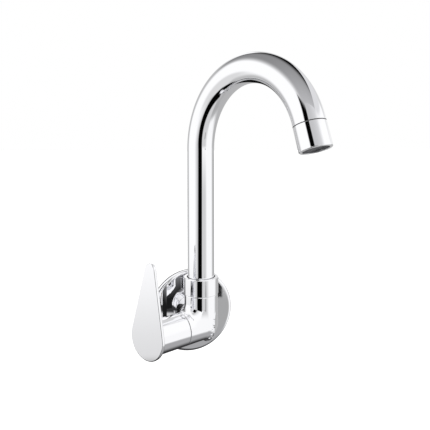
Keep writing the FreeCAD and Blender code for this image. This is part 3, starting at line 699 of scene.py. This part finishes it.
# Camera: at the photograph's height and a little left of the tap, looking slightly down.
# The lens is moved down and left in its mount, as the photograph's framing needs.
camera_turn = math.radians(17.72)
camera_pitch = math.radians(2.6)
view_camera = bpy.data.cameras.new("view_camera")
view_camera.lens = 40.0
view_camera.sensor_width = 36
view_camera.shift_x = -0.0361
view_camera.shift_y = -0.1132
view_camera.clip_start = 0.01
camera = bpy.data.objects.new("view_camera", view_camera)
camera.location = (-0.0959, -0.4169, 0.1486)
camera.rotation_euler = (math.pi / 2 - camera_pitch, 0, -camera_turn)
bpy.context.scene.collection.objects.link(camera)
bpy.context.scene.camera = camera

# Studio: white all round the camera's view, with grey and black cards that only polished metal shows.
# A card is a patch of directions, by its turn from the camera and its height, with a soft border.
# The black strips and the last card give the dark streaks.
world = bpy.data.worlds.new("studio")
bpy.context.scene.world = world
world.use_nodes = True
tree = world.node_tree
background = tree.nodes["Background"]
background.inputs["Color"].default_value = (1, 1, 1, 1)
way = tree.nodes.new("ShaderNodeTexCoord").outputs["Generated"]


def compute(operation, *values):
    node = tree.nodes.new("ShaderNodeMath")
    node.operation = operation
    for socket, value in zip(node.inputs, values):
        if isinstance(value, (int, float)):
            socket.default_value = value
        else:
            tree.links.new(value, socket)
    return node.outputs[0]


def along(direction):
    node = tree.nodes.new("ShaderNodeVectorMath")
    node.operation = "DOT_PRODUCT"
    node.inputs[1].default_value = direction
    tree.links.new(way, node.inputs[0])
    return node.outputs["Value"]


front_turn = math.radians(15.8)
to_camera = (-math.sin(front_turn), -math.cos(front_turn), 0)
to_right = (math.cos(front_turn), -math.sin(front_turn), 0)
turned = compute("DEGREES", compute("ARCTAN2", along(to_right), along(to_camera)))
height = compute("DEGREES", compute("ARCSINE", along((0, 0, 1))))


def inside(over, soft):
    """One where a measure is below nothing, none where it is above, with a soft border."""
    edge = tree.nodes.new("ShaderNodeMapRange")
    edge.interpolation_type = "SMOOTHSTEP"
    edge.inputs["From Min"].default_value = soft / 2
    edge.inputs["From Max"].default_value = -soft / 2
    tree.links.new(over, edge.inputs["Value"])
    return edge.outputs["Result"]


def lay(below, grey, cover):
    return compute("ADD", below, compute("MULTIPLY", cover, compute("SUBTRACT", grey, below)))


def card(below, grey, left, right, low, high, side_soft, end_soft):
    """Lays a card of this grey over what is below it."""
    aside = compute("ABSOLUTE", compute("SUBTRACT", turned, (left + right) / 2))
    above = compute("ABSOLUTE", compute("SUBTRACT", height, (low + high) / 2))
    cover = compute("MULTIPLY", inside(compute("SUBTRACT", aside, (right - left) / 2), side_soft),
                    inside(compute("SUBTRACT", above, (high - low) / 2), end_soft))
    return lay(below, grey, cover)


black = 0.001
strip_turn = math.radians(-3)
strip_tilt = math.radians(75)
strip_end_soft = 4
strip_half_slope = 60.0
strip_half_soft = 2
strip_way = Vector(to_camera) * math.cos(strip_turn) + Vector(to_right) * math.sin(strip_turn)
strip_side = strip_way.cross(Vector((0, 0, 1)))
strip_normal = strip_side * math.sin(strip_tilt) + Vector((0, 0, math.cos(strip_tilt)))


def strip(below, left, right, soft, top, half):
    """Lays half of a long black strip, which leads from the camera's side under the tap to the far side.
    Left and right are how far its edges are off the line; half is 1 for the near one and -1 for the far."""
    off_line = compute("DEGREES", compute("ARCSINE", along(strip_normal)))
    aside = compute("ABSOLUTE", compute("SUBTRACT", off_line, (left - right) / 2))
    cover = compute("MULTIPLY", inside(compute("SUBTRACT", aside, (left + right) / 2), soft),
                    inside(compute("SUBTRACT", height, top), strip_end_soft))
    past_half = compute("MULTIPLY", along(strip_way), -strip_half_slope * half)
    return lay(below, black, compute("MULTIPLY", cover, inside(past_half, strip_half_soft)))


light = 1.05
light = card(light, 0.42, left=-400, right=400, low=-100, high=-36, side_soft=10, end_soft=56)
light = card(light, 1.00, left=54, right=98, low=-46, high=10, side_soft=14, end_soft=16)
light = card(light, 0.74, left=-112, right=-60, low=-60, high=-20, side_soft=16, end_soft=14)
light = card(light, 0.68, left=116, right=300, low=14, high=60, side_soft=16, end_soft=20)
light = card(light, 0.47, left=112, right=300, low=-70, high=4, side_soft=22, end_soft=14)
light = card(light, 0.52, left=-162, right=-122, low=-70, high=40, side_soft=22, end_soft=24)
light = card(light, 0.45, left=-300, right=-150, low=-70, high=-2, side_soft=22, end_soft=10)
light = card(light, 0.66, left=-4, right=48, low=-80, high=-3, side_soft=22, end_soft=8)
light = card(light, 0.52, left=-38, right=-8, low=-34, high=60, side_soft=36, end_soft=20)
light = card(light, 0.40, left=29, right=37, low=-27, high=-17, side_soft=2, end_soft=3)
light = card(light, 0.01, left=31.3, right=32.5, low=-17.9, high=-15.5, side_soft=0.2, end_soft=0.3)
light = strip(light, left=15.5, right=15.5, soft=5, top=6, half=1)
light = strip(light, left=14, right=0, soft=3, top=-4, half=-1)
light = card(light, black, left=-45, right=-18, low=9, high=37, side_soft=5, end_soft=5)
paths = tree.nodes.new("ShaderNodeLightPath")
seen = compute("MULTIPLY", paths.outputs["Is Glossy Ray"], compute("SUBTRACT", light, 1.0))
tree.links.new(compute("ADD", seen, 1.0), background.inputs["Strength"])

# Grey canopy: a card over the arch that only polished metal close to it shows, as the grey on top.
# It fades out to the left and the front, darkens to black at its far right corner, and has a slanted back.
# A lighter cloth is sewn to its right side.
canopy_height = 0.32
canopy_left, canopy_right = -0.18, 0.32
canopy_seam = 0.147
canopy_front, canopy_back = -0.40, 0.20
canopy_slant = math.radians(34)
canopy_left_fade = (-0.16, -0.03)
canopy_front_fade = (canopy_front, -0.28)
canopy_hem = 0.015
canopy_cut = 0.045
canopy_hem_soft = 0.01
canopy_near = (0.26, 0.33)
canopy_depth = (-0.34, -0.06)
canopy_greys = (0.52, 0.27)
canopy_corner_fade = (-0.02, 0.052)
side_cloth_grey = 0.76
seam_soft = 0.002


def grey_card(name, centre, size, turn=(0, 0, 0)):
    bpy.ops.object.select_all(action="DESELECT")
    bpy.ops.mesh.primitive_plane_add(size=1, location=centre, rotation=turn)
    piece = bpy.context.object
    piece.name = name
    piece.scale = (size[0], size[1], 1)
    bpy.ops.object.transform_apply(location=True, rotation=True, scale=True)
    piece.visible_camera = False
    piece.visible_diffuse = False
    piece.visible_shadow = False
    cloth = bpy.data.materials.new(name)
    cloth.use_nodes = True
    cloth.node_tree.nodes.clear()
    piece.data.materials.append(cloth)
    return cloth.node_tree


def fade(value, start, end, low, high):
    node = tree.nodes.new("ShaderNodeMapRange")
    node.interpolation_type = "SMOOTHSTEP"
    node.inputs["From Min"].default_value = start
    node.inputs["From Max"].default_value = end
    node.inputs["To Min"].default_value = low
    node.inputs["To Max"].default_value = high
    tree.links.new(value, node.inputs["Value"])
    return node.outputs["Result"]


def spot_on_card():
    node = tree.nodes.new("ShaderNodeSeparateXYZ")
    tree.links.new(tree.nodes.new("ShaderNodeTexCoord").outputs["Object"], node.inputs["Vector"])
    return node.outputs


def near(start, end):
    return fade(tree.nodes.new("ShaderNodeLightPath").outputs["Ray Length"], start, end, 1, 0)


def hang(cover, strength):
    """Gives the cloth its grey where it covers, and leaves it clear elsewhere."""
    glow = tree.nodes.new("ShaderNodeEmission")
    glow.inputs["Color"].default_value = (0.985, 0.985, 1, 1)
    tree.links.new(strength, glow.inputs["Strength"])
    clear = tree.nodes.new("ShaderNodeBsdfTransparent")
    blend = tree.nodes.new("ShaderNodeMixShader")
    tree.links.new(cover, blend.inputs["Fac"])
    tree.links.new(clear.outputs[0], blend.inputs[1])
    tree.links.new(glow.outputs[0], blend.inputs[2])
    tree.links.new(blend.outputs[0], tree.nodes.new("ShaderNodeOutputMaterial").inputs["Surface"])


tree = grey_card("grey_canopy", ((canopy_left + canopy_right) / 2, (canopy_front + canopy_back) / 2,
                                 canopy_height), (canopy_right - canopy_left, canopy_back - canopy_front))
x, y = spot_on_card()[:2]
outward = compute("ADD", compute("MULTIPLY", x, math.cos(canopy_slant)),
                  compute("MULTIPLY", y, math.sin(canopy_slant)))
behind = compute("MINIMUM", compute("SUBTRACT", y, canopy_hem),
                 compute("SUBTRACT", compute("ADD", x, y), canopy_cut))
cover = compute("MULTIPLY", fade(x, *canopy_left_fade, 0, 1), fade(y, *canopy_front_fade, 0, 1))
cover = compute("MULTIPLY", cover, fade(behind, -canopy_hem_soft, canopy_hem_soft, 1, 0))
cover = compute("MULTIPLY", cover, near(*canopy_near))
dark = compute("MULTIPLY", fade(y, *canopy_depth, *canopy_greys), fade(outward, *canopy_corner_fade, 1, 0))
sewn_on = fade(x, canopy_seam - seam_soft, canopy_seam + seam_soft, 0, 1)
hang(cover, lay(dark, side_cloth_grey, sewn_on))

# Grey mat: a round card under the lever branch that only polished metal close to it shows.
# It darkens towards the wall and fades out around, as the grey on the underside of hub and elbow.
mat_centre = (-0.035, -0.06, -0.07)
mat_reach = 0.16
mat_rim = (0.10, 0.15)
mat_near = (0.13, 0.18)
mat_skew = 0.6
mat_wall_fade = (0.025, 0.08)
mat_greys = (0.04, 0.40)
tree = grey_card("grey_mat", mat_centre, (2 * mat_reach, 2 * mat_reach))
x, y = spot_on_card()[:2]
forward = compute("SUBTRACT", compute("MULTIPLY", x, mat_skew), y)
x = compute("SUBTRACT", x, mat_centre[0])
y = compute("SUBTRACT", y, mat_centre[1])
out = compute("SQRT", compute("ADD", compute("MULTIPLY", x, x), compute("MULTIPLY", y, y)))
cover = compute("MULTIPLY", fade(out, *mat_rim, 1, 0), near(*mat_near))
hang(cover, fade(forward, *mat_wall_fade, *mat_greys))

# Grey flag: an upright card in front of the nozzle that only polished metal close to it shows.
# It fades out to the right, as the grey beside the black streak on the nozzle.
flag_centre = (0.07, -0.25, 0.21)
flag_size = (0.18, 0.12)
flag_right_fade = (0.07, 0.14)
flag_near = (0.17, 0.22)
flag_width = (0.0, 0.12)
flag_greys = (0.58, 0.75)
tree = grey_card("grey_flag", flag_centre, flag_size, (math.pi / 2, 0, 0))
x = spot_on_card()[0]
cover = compute("MULTIPLY", fade(x, *flag_right_fade, 1, 0), near(*flag_near))
hang(cover, fade(x, *flag_width, *flag_greys))

# Black flag: a small upright card in the gap between lever branch and flange, for the metal beside it.
# It is painted shade: a dark sheet in the recess, seen only in the close metal's reflections, which stands
# in for the shade there, and it gets lighter towards its top, where it ends.
gap_centre = (-0.0228, -0.017, 0.015)
gap_size = (0.07, 0.022)
gap_top_fade = (0.034, 0.044)
gap_near = (0.03, 0.045)
gap_rise = (0.004, 0.04)
gap_greys = (0.012, 0.42)
tree = grey_card("recess_shade_flag", gap_centre, gap_size, (0, math.pi / 2, 0))
z = spot_on_card()[2]
cover = compute("MULTIPLY", fade(z, *gap_top_fade, 1, 0), near(*gap_near))
hang(cover, fade(z, *gap_rise, *gap_greys))

# Lamp and floor: one large soft lamp overhead, and a pale floor well below the tap.
# The floor is lit a little by itself where the camera sees it, so that it is as pale as the background.
lamp_aim = Vector((0, -0.05, 0.05))
lamp = bpy.data.lights.new("overhead", "AREA")
lamp.shape = "RECTANGLE"
lamp.size = 0.9
lamp.size_y = 0.9
lamp.energy = 3.0
overhead = bpy.data.objects.new("overhead", lamp)
overhead.location = (-0.2, -0.5, 0.9)
overhead.rotation_euler = (lamp_aim - overhead.location).to_track_quat("-Z", "Y").to_euler()
overhead.visible_glossy = False
bpy.context.scene.collection.objects.link(overhead)

floor_height = -0.25
floor_lift = 0.3
bpy.ops.object.select_all(action="DESELECT")
bpy.ops.mesh.primitive_plane_add(size=60, location=(0, 0, floor_height))
floor = bpy.context.object
floor.name = "pale_floor"
bpy.ops.object.transform_apply(location=True)
floor.visible_glossy = False
pale_floor, tree, shader = new_material("pale_floor", (0.9, 0.9, 0.9), 0.0, 0.9)
paths = tree.nodes.new("ShaderNodeLightPath")
shader.inputs["Emission Color"].default_value = (1, 1, 1, 1)
lift = compute("MULTIPLY", paths.outputs["Is Camera Ray"], floor_lift)
tree.links.new(lift, shader.inputs["Emission Strength"])
floor.data.materials.append(pale_floor)
bpy.context.scene.view_settings.view_transform = "Standard"
